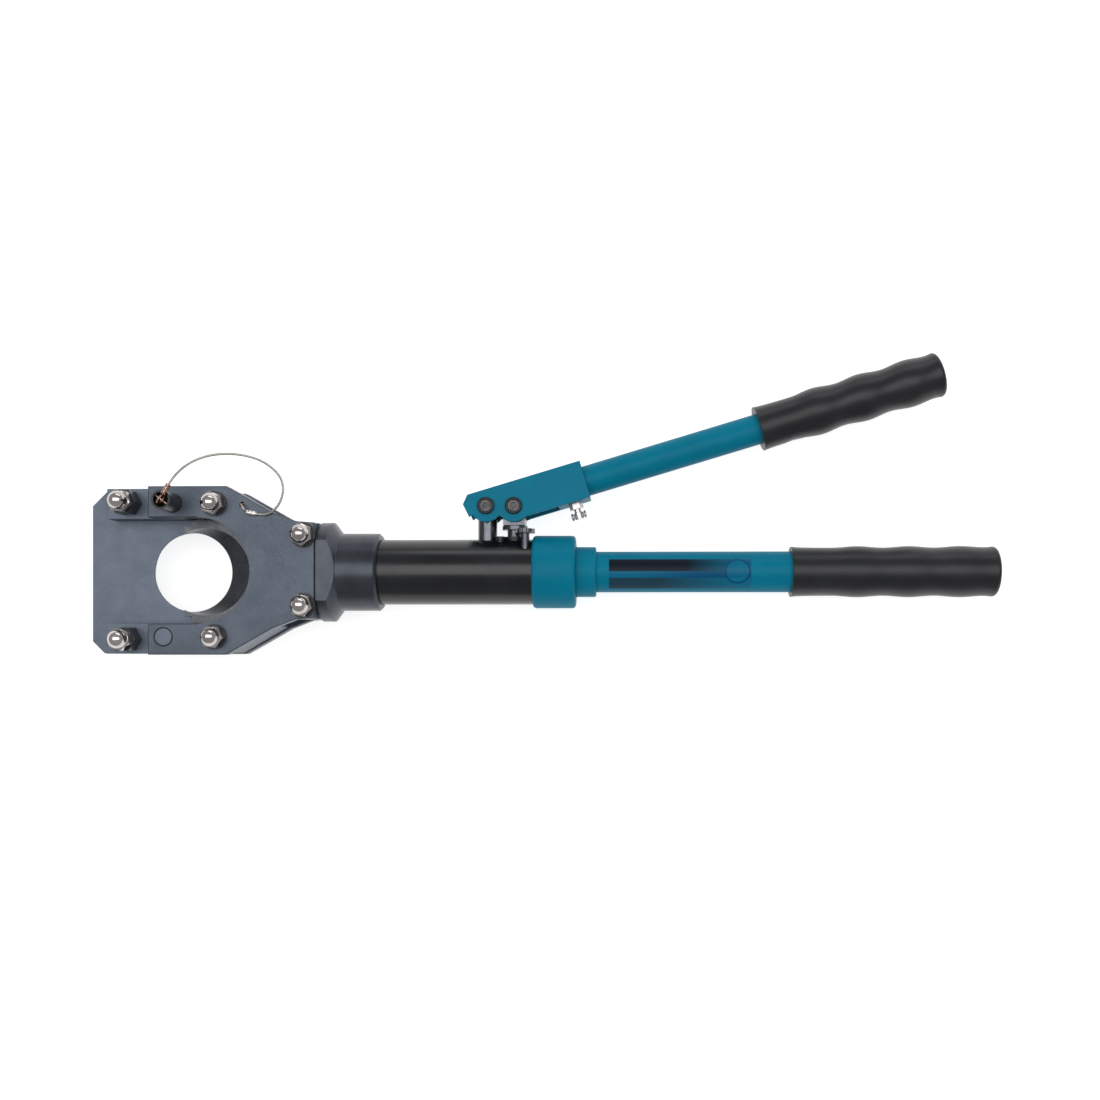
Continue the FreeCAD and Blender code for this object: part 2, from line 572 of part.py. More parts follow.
def grip_shape(start, end, radius, wave, bore, tube_end, flare):
    """A moulded grip turned about X: a flared lip, a waist, three finger swells, a closed end."""
    length = end - start
    round_end = 2.5
    stations = 40
    profile = []
    for i in range(stations + 1):
        along = i / stations * (length - round_end)
        share = along / length
        swell = wave * (1 - math.cos(2 * math.pi * (share - 0.2) * 4)) if share > 0.2 else 0
        lip = flare * math.exp(-along / 6) + flare * math.exp(-(length - along) / 7)
        profile.append(FreeCAD.Vector(start + along, radius + swell + lip, 0))
    crown = Part.BSplineCurve()
    crown.interpolate(profile)
    last = profile[-1]
    corner = FreeCAD.Vector(end - 0.3 * round_end, last.y - 0.3 * round_end, 0)
    tip = FreeCAD.Vector(end, last.y - round_end, 0)
    edges = [Part.Edge(crown), Part.Arc(last, corner, tip).toShape()]
    path = [tip, FreeCAD.Vector(end, 0, 0), FreeCAD.Vector(tube_end, 0, 0),
            FreeCAD.Vector(tube_end, bore, 0), FreeCAD.Vector(start, bore, 0), profile[0]]
    edges += [Part.LineSegment(a, b).toShape() for a, b in zip(path, path[1:])]
    face = Part.Face(Part.Wire(edges))
    return face.revolve(FreeCAD.Vector(), FreeCAD.Vector(1, 0, 0), 360)


node("handle_grip", solid(grip_shape(number("gripStart"), number("gripEnd"), number("gripRadius"),
                                     number("gripWave"), number("tubeRadius"), number("tubeEnd"),
                                     number("gripFlare"))))


# ---- lever ----

def lever():
    pin_x, pin_y = "pinPitch * cos(leverAngle)", "-pinPitch * sin(leverAngle)"
    points = [("-14", "5.2"), ("-12.5", "-3.6"), ("-8.6", "-2.4"), ("7", "-9"), ("9", "-11.5"),
              ("17", "-15"), ("24", "yokeBottom"), ("yokeEnd", "yokeBottom"), ("yokeEnd", "yokeTop"),
              ("-9.5", "yokeTop")]
    outer = "yokeInner + sheet"
    cheeks = plate(points, f"-({outer})", f"2 * ({outer})")
    lobes = [rod("z", "lobeRadius", f"-({outer})", outer, "0", "0"),
             rod("z", "lobeRadius", f"-({outer})", outer, pin_x, pin_y)]
    hollow = block("-20", "yokeEnd + 5", "-40", "yokeTop - sheet", "-yokeInner", "yokeInner")
    bores = [rod("z", "leverPin", f"-({outer})", outer, x, y) for x, y in (("0", "0"), (pin_x, pin_y))]
    node("lever_yoke", cut(fuse(cheeks, *lobes), hollow, *bores), "lever")
    strap = block("strapStart", "yokeEnd", "yokeBottom", "leverTubeLine - leverTube",
                  "-yokeInner", "yokeInner")
    node("yoke_strap", cut(strap, rod("y", "wingStem + 0.05", "yokeBottom",
                                      "leverTubeLine - leverTube", "wingX")), "lever")
    for name, x, y in (("fulcrum_screw", "0", "0"), ("plunger_screw", pin_x, pin_y)):
        shank = rod("z", "leverPin", f"-({outer})", outer, x, y)
        head = rod("z", "leverPin + 1.5", outer, f"{outer} + 1.8", x, y)
        nut = rod("z", "leverPin + 1.8", f"-({outer}) - 1.8", f"-({outer})", x, y)
        socket = hexagon("1.9", f"{outer} + 0.4", f"{outer} + 1.8", x, y)
        node(name, cut(fuse(shank, head, nut), socket), "lever")
    tube = cut(rod("x", "leverTube", "leverTubeStart", "leverTubeEnd", "leverTubeLine"),
               rod("x", "leverTube - 2", "leverTubeStart", "leverTubeEnd", "leverTubeLine"))
    node("lever_tube", tube, "lever")
    grip = grip_shape(number("leverGripStart"), number("leverGripEnd"), number("leverGripRadius"),
                      number("leverGripWave"), number("leverTube"), number("leverTubeEnd"), 0.7)
    grip.translate(FreeCAD.Vector(0, number("leverTubeLine"), 0))
    node("lever_grip", solid(grip), "lever")
    # wing screw: its nut is welded under the strap, and its tip bears on the tube
    nut = doc.addObject("Part::Prism", "nut")
    nut.Polygon = 6
    bind(nut, "Circumradius", "4.6")
    bind(nut, "Height", "yokeBottom - wingNutLow")
    nut.Placement.Rotation = turn_to["y"]
    seat(nut, "wingX", "wingNutLow", "0")
    node("wing_screw_nut", cut(nut, rod("y", "wingStem + 0.05", "wingNutLow", "yokeBottom", "wingX")),
         "lever")
    stem = rod("y", "wingStem", "wingHead - 1", "leverTubeLine - leverTube - 0.1", "wingX")
    hub = rod("y", "wingHub", "wingLow + 0.4", "wingHead", "wingX")
    wings = []
    for side in ("", "-"):
        wing = doc.addObject("Part::Ellipsoid", "wing")
        bind(wing, "Radius1", "2.6")
        bind(wing, "Radius2", "1.1")
        bind(wing, "Radius3", "2.6")
        wing.Placement.Rotation = turn_to["y"]
        seat(wing, f"wingX + {side}4.2", "wingLow + 2.6", "0")
        wings.append(wing)
    node("wing_screw", fuse(stem, hub, *wings), "lever")


lever()


# ---- lanyard ----

# the wire's route in the tool frame: out of the lock pin's ferrule, round beyond the edge of the
# head in a springy loop, and back over the front plate to its own ferrule
route = [(1.2, 52.2, 48.4), (5.6, 60.6, 46.6), (18.9, 70.0, 43.0), (36.0, 73.3, 38.5),
         (54.0, 70.2, 34.0), (65.5, 61.2, 31.0), (68.4, 52.0, 29.6), (65.8, 42.9, 28.7),
         (60.6, 36.9, 28.2), (54.9, 34.9, 28.0), (50.2, 35.8, 27.9)]
pin_ferrule_end = (-2.0, 46.1, 49.7)
plate_ferrule_end = (43.9, 37.0, 27.8)


def cord_path(points):
    """Straight runs joined by tangent arcs, each arc as large as its two runs allow."""
    places = [FreeCAD.Vector(*point) for point in points]
    edges, at, radii = [], places[0], []
    for before, corner, after in zip(places, places[1:], places[2:]):
        into, out = (corner - before), (after - corner)
        reach = 0.45 * min(into.Length, out.Length)
        half_turn = into.getAngle(out) / 2
        radii.append(reach / math.tan(half_turn))
        start = corner - FreeCAD.Vector(into).normalize() * reach
        end = corner + FreeCAD.Vector(out).normalize() * reach
        inward = (start + end) / 2 - corner
        middle = corner + inward.normalize() * (radii[-1] / math.cos(half_turn) - radii[-1])
        edges.append(Part.LineSegment(at, start).toShape())
        edges.append(Part.Arc(start, middle, end).toShape())
        at = end
    edges.append(Part.LineSegment(at, places[-1]).toShape())
    return Part.Wire(edges), radii


def stub(start, end, radius):
    start, end = FreeCAD.Vector(*start), FreeCAD.Vector(*end)
    return Part.makeCylinder(radius, (end - start).Length, start, end - start)


def lanyard():
    path, radii = cord_path(route)
    radius = number("wireRadius")
    first = FreeCAD.Vector(*route[0])
    section = Part.Wire(Part.makeCircle(radius, first, FreeCAD.Vector(*route[1]) - first))
    tube = path.makePipeShell([section], True, False)
    expected = math.pi * radius ** 2 * path.Length
    print(f"lanyard: length {path.Length:.1f}, volume {tube.Volume:.1f} of {expected:.1f}, "
          f"radii {[round(value, 1) for value in radii]}")
    node("lanyard_wire", solid(tube))
    node("pin_ferrule", solid(stub(pin_ferrule_end, route[0], number("ferruleRadius"))))
    node("plate_ferrule", solid(stub(route[-1], plate_ferrule_end, number("ferruleRadius"))))
    # the wire's bight beyond the ferrule bends up and over into its hole, and ends in a plug there
    near, low = FreeCAD.Vector(*plate_ferrule_end), number("plateOuter - plateThick")
    hole = vector("lanyardHoleX", "lanyardHoleY", "0") + FreeCAD.Vector(0, 0, near.z)
    across = (hole - near).cross(FreeCAD.Vector(0, 0, 1)).normalize()
    ring = Part.makeTorus((hole - near).Length / 2, radius, (hole + near) / 2, across)
    keep = Part.makeBox(40, 40, 10, near - FreeCAD.Vector(20, 20, 0))
    down = Part.makeCylinder(radius, near.z - low - 2, FreeCAD.Vector(hole.x, hole.y, low + 2))
    plug = Part.makeCylinder(number("lanyardHole") - 0.05, 5, FreeCAD.Vector(hole.x, hole.y, low))
    node("plate_eye", solid(ring.common(keep).fuse([down, plug])))

lanyard()


# ---- check and write ----

doc.recompute()
for thing in doc.Objects:
    bad = [word for word in thing.State if word in ("Invalid", "Error")]
    if bad:
        raise RuntimeError(f"{thing.Label} ({thing.Name}) is {bad}")
for thing in nodes:
    if thing.Shape.isNull() or not thing.Shape.isValid():
        raise RuntimeError(f"{thing.Label} has no valid shape")

os.makedirs("parts", exist_ok=True)
whole = FreeCAD.BoundBox()
for thing in nodes:
    thing.Shape.exportStep(f"parts/{thing.Label}.step")
    if thing.Label not in ("lanyard_wire", "plate_ferrule", "pin_ferrule"):
        whole.add(thing.Shape.BoundBox)
print(f"{len(nodes)} nodes written, box {whole}")
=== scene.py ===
import bpy
import bmesh
import math
from mathutils import Matrix, Vector


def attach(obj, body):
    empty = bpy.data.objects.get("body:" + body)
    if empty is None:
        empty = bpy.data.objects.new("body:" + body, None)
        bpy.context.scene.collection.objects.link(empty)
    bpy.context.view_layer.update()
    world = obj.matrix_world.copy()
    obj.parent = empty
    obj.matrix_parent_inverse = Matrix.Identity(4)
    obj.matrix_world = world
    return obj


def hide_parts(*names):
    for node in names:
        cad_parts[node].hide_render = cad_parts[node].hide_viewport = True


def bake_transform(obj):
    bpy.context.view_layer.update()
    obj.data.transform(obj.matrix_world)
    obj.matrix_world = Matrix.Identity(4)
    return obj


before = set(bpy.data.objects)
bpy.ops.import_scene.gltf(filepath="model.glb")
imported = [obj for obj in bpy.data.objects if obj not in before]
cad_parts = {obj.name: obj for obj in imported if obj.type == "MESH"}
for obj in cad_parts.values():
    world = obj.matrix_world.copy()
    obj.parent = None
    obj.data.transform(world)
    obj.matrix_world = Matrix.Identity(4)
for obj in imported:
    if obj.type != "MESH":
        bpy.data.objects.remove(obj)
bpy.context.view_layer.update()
print("frame loaded:", len(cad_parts), "nodes")

mm = 0.001
# centre of the cutting opening, on the cylinder's axis
toolZero = Vector((-0.2296, -0.044047, 0.0329))


def tool(x, y, z):
    return toolZero + Vector((x, y, z)) * mm   # from millimetres along the tool


cameraLook = {
    "above": (279.2, -44.2, 805.7),   # straight over this point of the tool, in mm
    "lens": 40.2,
    "turn": -1.3,                     # degrees towards the head
    "shift": (-0.0346, 0.0813),
}

cameraData = bpy.data.cameras.new("camera")
camera = bpy.data.objects.new("camera", cameraData)
bpy.context.collection.objects.link(camera)
camera.location = tool(*cameraLook["above"])
camera.rotation_euler = (0, math.radians(-cameraLook["turn"]), 0)
cameraData.lens = cameraLook["lens"]
cameraData.shift_x, cameraData.shift_y = cameraLook["shift"]
cameraData.clip_start = 0.02
cameraData.clip_end = 30
bpy.context.scene.camera = camera
print("camera placed")


lanyard = {
    "route": [(1.2, 52.2, 48.4), (5.6, 60.6, 46.6), (18.9, 70.0, 43.0), (36.0, 73.3, 38.5),
              (54.0, 70.2, 34.0), (65.5, 61.2, 31.0), (68.4, 52.0, 29.6), (65.8, 42.9, 28.7),
              (60.6, 36.9, 28.2), (54.9, 34.9, 28.0), (50.2, 35.8, 27.9)],
    "length": 0.1144, "diameter": 0.0015, "strands": 6, "lay": 0.011,
    "strandSides": 4, "valley": 0.80, "lobe": 0.6,   # how the strands show in the section
    "pinFerrule": (-2.0, 46.1, 49.7), "plateFerrule": (43.9, 37.0, 27.8),
    "blendEnd": (46, 52.2, 48.4),
}
ferrule = {
    "radius": 1.7, "sides": 28, "cuts": 17, "rounding": 0.25,
    "crimps": 3, "squeeze": 0.12, "squeezeX": 1.6, "squeezeY": 0.6,
}


def addMesh(name, shape, smooth=None):
    mesh = bpy.data.meshes.new(name)
    shape.to_mesh(mesh)
    shape.free()
    piece = bpy.data.objects.new(name, mesh)
    bpy.context.collection.objects.link(piece)
    if smooth is not None:
        mesh.shade_smooth()
        if smooth < 180:
            mesh.set_sharp_from_angle(angle=math.radians(smooth))
    return piece


def splineCurve(name, points, closed=False):
    curve = bpy.data.curves.new(name, "CURVE")
    curve.dimensions = "3D"
    spline = curve.splines.new("NURBS")
    spline.points.add(len(points) - 1)
    for handle, place in zip(spline.points, points):
        handle.co = (*place, 1)
    spline.order_u = 3
    spline.use_endpoint_u = not closed
    spline.use_cyclic_u = closed
    spline.resolution_u = 10
    holder = bpy.data.objects.new(name, curve)
    bpy.context.collection.objects.link(holder)
    return holder


def curveMesh(holder):
    bpy.context.view_layer.update()
    graph = bpy.context.evaluated_depsgraph_get()
    return bpy.data.meshes.new_from_object(holder.evaluated_get(graph))


def makeWireRope():
    places = [tool(*point) for point in lanyard["route"]]
    bare = splineCurve("lanyardLine", places)
    line = [tuple(vertex.co) for vertex in curveMesh(bare).vertices]
    strands = lanyard["strands"]
    outer = lanyard["diameter"] / 2
    inner = outer * lanyard["valley"]
    steps = strands * lanyard["strandSides"]
    ring = []
    for step in range(steps):   # a lobed section, one lobe for each strand
        turn = 2 * math.pi * step / steps
        reach = inner + (outer - inner) * abs(math.sin(turn * strands / 2)) ** lanyard["lobe"]
        ring.append(Vector((reach * math.cos(turn), reach * math.sin(turn), 0)))
    section = bpy.data.curves.new("ropeSection", "CURVE")
    section.dimensions = "2D"
    loop = section.splines.new("POLY")
    loop.points.add(len(ring) - 1)
    for handle, place in zip(loop.points, ring):
        handle.co = (*place, 1)
    loop.use_cyclic_u = True
    profile = bpy.data.objects.new("ropeSection", section)
    bpy.context.collection.objects.link(profile)
    bare.data.bevel_mode = "OBJECT"
    bare.data.bevel_object = profile
    bare.data.use_fill_caps = True
    bare.data.splines[0].resolution_u = 16
    travelled = 0.0
    for i, handle in enumerate(bare.data.splines[0].points):
        if i:
            travelled += (places[i] - places[i - 1]).length
        handle.tilt = 2 * math.pi * travelled / lanyard["lay"]
    rope = bpy.data.objects.new("wireRope", curveMesh(bare))
    bpy.context.collection.objects.link(rope)
    rope.data.shade_smooth()
    bpy.data.objects.remove(bare)
    bpy.data.objects.remove(profile)
    return rope, line


def makeFerrule(name, start, end):
    # a crimped sleeve: a short solid rod, squeezed at a few places along it
    along = end - start
    radius = ferrule["radius"] * mm
    shape = bmesh.new()
    bmesh.ops.create_cone(shape, cap_ends=True, segments=ferrule["sides"], radius1=radius,
                          radius2=radius, depth=along.length)
    sides = [edge for edge in shape.edges if abs((edge.verts[0].co - edge.verts[1].co).z) > mm]
    bmesh.ops.subdivide_edges(shape, edges=sides, cuts=ferrule["cuts"])
    for vertex in shape.verts:
        share = vertex.co.z / along.length + 0.5
        squeeze = ferrule["squeeze"] * math.sin(share * math.pi * ferrule["crimps"]) ** 2
        vertex.co.x *= 1 - ferrule["squeezeX"] * squeeze
        vertex.co.y *= 1 - ferrule["squeezeY"] * squeeze
    ends = [edge for edge in shape.edges if len(edge.link_faces) == 2
            and any(len(face.verts) > 4 for face in edge.link_faces)]
    bmesh.ops.bevel(shape, geom=ends, offset=ferrule["rounding"] * mm, segments=2,
                    affect="EDGES", profile=0.5, material=-1)
    turn = along.to_track_quat("Z", "Y").to_matrix().to_4x4()
    bmesh.ops.transform(shape, matrix=Matrix.Translation((start + end) / 2) @ turn,
                        verts=shape.verts)
    return addMesh(name, shape, 40)


wireRope, ropeLine = makeWireRope()
pinFerrule = makeFerrule("pinCrimp", tool(*lanyard["pinFerrule"]), tool(*lanyard["route"][0]))
plateFerrule = makeFerrule("plateCrimp", tool(*lanyard["route"][-1]),
                           tool(*lanyard["plateFerrule"]))
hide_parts("lanyard_wire")
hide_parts("pin_ferrule")
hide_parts("plate_ferrule")
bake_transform(wireRope)
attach(pinFerrule, "lock_pin")
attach(plateFerrule, "head")
print("lanyard made")


label = {
    "start": 274.7, "end": 366.2, "tube": 13.35, "lift": 0.12,
    "facesAlong": 40, "facesRound": 28,
    "low": -56, "high": 36,            # degrees round the tube from the top
    "ringAt": 357.6, "ringRadius": 8.4, "ringWide": 1.2, "ringTurn": -1, "ringBlur": 0.1,
    "bandLow": 0.40, "bandHigh": 0.60, "bandEnd": 0.985, "bandBlur": 0.006,
    "teal": (0.0, 0.160, 0.277), "night": (0.004, 0.009, 0.018), "blue": (0.0, 0.060, 0.150),
    "slate": (0.014, 0.045, 0.068), "ringColour": (0.0, 0.060, 0.165), "insideRing": 0.55,
    "roughness": 0.36, "ior": 1.22,
}


def makeLabel():
    # a thin printed film wrapped round the tube, with its own flat coordinates for the print
    shape = bmesh.new()
    bmesh.ops.create_grid(shape, x_segments=label["facesAlong"],
                          y_segments=label["facesRound"], size=0.5)
    sheetUv = shape.loops.layers.uv.new("print")
    for face in shape.faces:
        for loop in face.loops:
            loop[sheetUv].uv = (loop.vert.co.x + 0.5, loop.vert.co.y + 0.5)
    radius = label["tube"] + label["lift"]
    for vertex in shape.verts:
        along = label["start"] + (vertex.co.x + 0.5) * (label["end"] - label["start"])
        turn = math.radians(label["low"] + (vertex.co.y + 0.5) * (label["high"] - label["low"]))
        vertex.co = tool(along, radius * math.sin(turn), radius * math.cos(turn))
    return addMesh("handleLabel", shape, 180)


handleLabel = makeLabel()
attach(handleLabel, "head")
print("label made")


acornNut = {
    "flat": 6.5, "corner": 7.4, "hexHigh": 6.5, "face": 6.15, "neck": 5.9, "neckHigh": 7.6,
    "high": 13.5, "steps": 48, "base": 27.6, "chamfer": 30, "shoulder": 0.2, "capSteps": 9,
    "plate": [(22.5, 42.5, 12), (22.5, -42.5, 24), (79.5, 22.5, 5), (79.5, -22.5, 17)],
    "jaw": [(-36.5, 44, 20), (-36.5, -44, 8)],    # along, across, degrees that the flats turn
}
screwRing = {
    "inner": 3.4, "outer": 5.5, "high": 2.15, "rounding": 0.5, "steps": 40, "base": 12.5,
    "places": [(195, 42.3, 0), (213, 42.3, 0)],
}
pivotRing = {
    "inner": 5.35, "outer": 6.25, "high": 0.35, "rounding": 0.12, "steps": 48, "base": 25.95,
    "places": [(-10.5, -42.5, 0)],
}


def spinProfile(profile, steps, closed):
    shape = bmesh.new()
    corners = [shape.verts.new((reach, 0, height)) for reach, height in profile]
    pairs = list(zip(corners, corners[1:]))
    if closed:
        pairs.append((corners[-1], corners[0]))
    edges = [shape.edges.new(pair) for pair in pairs]
    bmesh.ops.spin(shape, geom=corners + edges, axis=(0, 0, 1), cent=(0, 0, 0),
                   angle=2 * math.pi, steps=steps, use_merge=True)
    bmesh.ops.remove_doubles(shape, verts=shape.verts, dist=1e-5)
    return shape


def placeCopies(name, shape, places, base, smooth):
    bmesh.ops.recalc_face_normals(shape, faces=shape.faces)
    one = bpy.data.meshes.new(name + "One")
    shape.to_mesh(one)
    shape.free()
    whole = bmesh.new()
    for along, across, turned in places:
        known = len(whole.verts)
        whole.from_mesh(one)
        whole.verts.ensure_lookup_table()
        matrix = Matrix.Translation(tool(along, across, base)) @ Matrix.Scale(mm, 4) \
            @ Matrix.Rotation(math.radians(turned), 4, "Z")
        bmesh.ops.transform(whole, matrix=matrix, verts=whole.verts[known:])
    bpy.data.meshes.remove(one)
    return addMesh(name, whole, smooth)


def makeAcornNuts(name, places):
    # a turned blank with its chamfers and cap, then six flats cut on it
    fall = (acornNut["corner"] - acornNut["face"]) * math.tan(math.radians(acornNut["chamfer"]))
    domeHigh = acornNut["high"] - acornNut["neckHigh"]
    profile = [(0, 0), (acornNut["face"], 0), (acornNut["corner"], fall),
               (acornNut["corner"], acornNut["hexHigh"] - fall),
               (acornNut["face"], acornNut["hexHigh"]),
               (acornNut["neck"], acornNut["hexHigh"] + acornNut["shoulder"]),
               (acornNut["neck"], acornNut["neckHigh"])]
    capSteps = acornNut["capSteps"]
    for step in range(1, capSteps + 1):
        rise = math.radians(90 * step / capSteps)
        profile.append((acornNut["neck"] * math.cos(rise) * (step < capSteps),
                        acornNut["neckHigh"] + domeHigh * math.sin(rise)))
    shape = spinProfile(profile, acornNut["steps"], False)
    for side in range(6):
        out = Vector((math.cos(math.pi * side / 3), math.sin(math.pi * side / 3), 0))
        cut = bmesh.ops.bisect_plane(shape, geom=shape.verts[:] + shape.edges[:] + shape.faces[:],
                                     plane_co=out * acornNut["flat"], plane_no=out,
                                     clear_outer=True)["geom_cut"]
        rim = [item for item in cut if isinstance(item, bmesh.types.BMEdge)]
        bmesh.ops.edgeloop_fill(shape, edges=rim)
    return placeCopies(name, shape, places, acornNut["base"], 25)


def makeRings(name, look):
    inner, outer, high, soft = look["inner"], look["outer"], look["high"], look["rounding"]
    profile = [(inner, 0), (outer, 0), (outer, high - soft), (outer - soft, high),
               (inner + soft, high), (inner, high - soft)]
    shape = spinProfile(profile, look["steps"], True)
    return placeCopies(name, shape, look["places"], look["base"], 50)


plateNuts = makeAcornNuts("plateAcornNuts", acornNut["plate"])
jawNuts = makeAcornNuts("jawAcornNuts", acornNut["jaw"])
screwRings = makeRings("screwRings", screwRing)
pivotSnapRing = makeRings("pivotSnapRing", pivotRing)
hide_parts("plate_dome_nuts")
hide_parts("jaw_dome_nuts")
for piece, body, slot in ((plateNuts, "head", "bright_chrome"), (jawNuts, "head", "bright_chrome"),
                          (screwRings, "lever", "black_oxide"),
                          (pivotSnapRing, "head", "black_oxide")):
    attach(piece, body)
print("nuts and rings made")


def newMaterial(name, **sockets):
    material = bpy.data.materials.new(name)
    material.use_nodes = True
    shader = material.node_tree.nodes["Principled BSDF"]
    for socket, value in sockets.items():
        wanted = shader.inputs[socket.replace("_", " ")]
        wanted.default_value = (*value, 1) if isinstance(value, tuple) else value
    return material, material.node_tree, shader


def addNode(tree, kind, links=(), **values):
    made = tree.nodes.new("ShaderNode" + kind)
    for key, value in values.items():
        if hasattr(made, key):
            setattr(made, key, value)
        else:
            made.inputs[key.replace("_", " ")].default_value = value
    for socket, source in dict(links).items():
        tree.links.new(source, made.inputs[socket])
    return made


def objectPlace(tree, stretch=(1, 1, 1)):
    where = addNode(tree, "TexCoord").outputs["Object"]
    return addNode(tree, "Mapping", {"Vector": where}, Scale=stretch).outputs["Vector"]


def noise(tree, place, scale, detail=4.0, rough=0.55):
    return addNode(tree, "TexNoise", {"Vector": place}, Scale=scale, Detail=detail,
                   Roughness=rough).outputs["Fac"]


def spread(tree, source, low, high, fromLow=0.3, fromHigh=0.7):
    made = addNode(tree, "MapRange", {"Value": source})
    for socket, value in zip(("From Min", "From Max", "To Min", "To Max"),
                             (fromLow, fromHigh, low, high)):
        made.inputs[socket].default_value = value
    return made.outputs["Result"]


def mixColor(tree, amount, first, second):
    made = addNode(tree, "Mix", data_type="RGBA")
    tree.links.new(amount, made.inputs["Factor"])
    for socket, colour in ((6, first), (7, second)):
        if isinstance(colour, tuple):
            made.inputs[socket].default_value = (*colour, 1)
        else:
            tree.links.new(colour, made.inputs[socket])
    return made.outputs[2]


def edgeMask(tree, width, gain):
    # how far a rounded normal leans away from the true one: bright along edges, which take edge
    # wear on the metals and a painted edge highlight on the teal
    rounded = addNode(tree, "Bevel", samples=6, Radius=width)
    flat = addNode(tree, "NewGeometry")
    lean = addNode(tree, "VectorMath", {0: rounded.outputs["Normal"], 1: flat.outputs["Normal"]},
                   operation="DOT_PRODUCT")
    return spread(tree, lean.outputs["Value"], gain, 0.0, 0.75, 0.985)


def grain(tree, shader, layers, softEdge):
    # bumps laid one on another, over edges that a bevel softens
    under = addNode(tree, "Bevel", samples=6, Radius=softEdge).outputs["Normal"]
    for height, strength, depth in layers:
        under = addNode(tree, "Bump", {"Height": height, "Normal": under}, Strength=strength,
                        Distance=depth).outputs["Normal"]
    tree.links.new(under, shader.inputs["Normal"])


patternScale = {"metal": 60.0, "enamel": 45.0, "peel": 900.0, "highlightPatches": 380.0, "rubber": 70.0}
bumpDepth = {"metal": 0.0002, "peel": 0.0001, "pores": 0.00012, "waves": 0.0006}


def metalFinish(name, look):
    material, tree, shader = newMaterial(name, Metallic=look["metal"],
                                         Specular_IOR_Level=look.get("specular", 0.5))
    brushed = objectPlace(tree, look.get("stretch", (1, 1, 1)))
    plain = objectPlace(tree)
    fine = noise(tree, brushed, look["fine"], 5.0)
    broad = noise(tree, plain, look.get("broad", patternScale["metal"]), 3.0)
    colour = mixColor(tree, spread(tree, broad, 0.0, 1.0, 0.35, 0.65), look["dark"], look["light"])
    if look.get("wear"):
        edgeWearAndHighlight = edgeMask(tree, look["edgeWearAndHighlightWidth"], look["wear"])
        colour = mixColor(tree, edgeWearAndHighlight, colour, look["bare"])
    tree.links.new(colour, shader.inputs["Base Color"])
    tree.links.new(spread(tree, fine, *look["rough"]), shader.inputs["Roughness"])
    grain(tree, shader, [(fine, look["bump"], bumpDepth["metal"])], look["soft"])
    return material


def enamelFinish(name, look):
    material, tree, shader = newMaterial(name, Coat_Weight=look["coat"],
                                         Coat_Roughness=look["coatRough"], IOR=look["ior"],
                                         Specular_IOR_Level=look["specular"])
    place = objectPlace(tree)
    broad = noise(tree, place, patternScale["enamel"], 3.0)
    peel = noise(tree, place, patternScale["peel"], 2.0)
    colour = mixColor(tree, spread(tree, broad, 0.0, 1.0, 0.35, 0.65), look["dark"], look["light"])
    # edges take the "bare" colour in patches: on the teal this is a lighter teal, a painted edge
    # highlight
    if look.get("wear"):
        highlightPatches = noise(tree, place, patternScale["highlightPatches"], 6.0, 0.7)
        edgeWearAndHighlight = addNode(tree, "Math", {0: edgeMask(tree, look["edgeWearAndHighlightWidth"], look["wear"]),
                                      1: spread(tree, highlightPatches, 0.0, 1.0, 0.5, 0.62)},
                       operation="MULTIPLY")
        colour = mixColor(tree, edgeWearAndHighlight.outputs[0], colour, look["bare"])
    tree.links.new(colour, shader.inputs["Base Color"])
    tree.links.new(spread(tree, broad, *look["rough"]), shader.inputs["Roughness"])
    grain(tree, shader, [(peel, look["bump"], bumpDepth["peel"])], look["soft"])
    return material


def rubberFinish(name, look):
    material, tree, shader = newMaterial(name, Specular_IOR_Level=look["specular"],
                                         Sheen_Weight=look["sheen"], Sheen_Roughness=0.5)
    place = objectPlace(tree)
    pores = noise(tree, place, look["pores"], 6.0, 0.65)
    broad = noise(tree, place, patternScale["rubber"], 4.0)
    tree.links.new(mixColor(tree, spread(tree, broad, 0.0, 1.0), look["dark"], look["light"]),
                   shader.inputs["Base Color"])
    tree.links.new(spread(tree, pores, *look["rough"]), shader.inputs["Roughness"])
    grain(tree, shader, [(pores, look["bump"], bumpDepth["pores"]),
                         (broad, look["waves"], bumpDepth["waves"])], look["soft"])
    return material


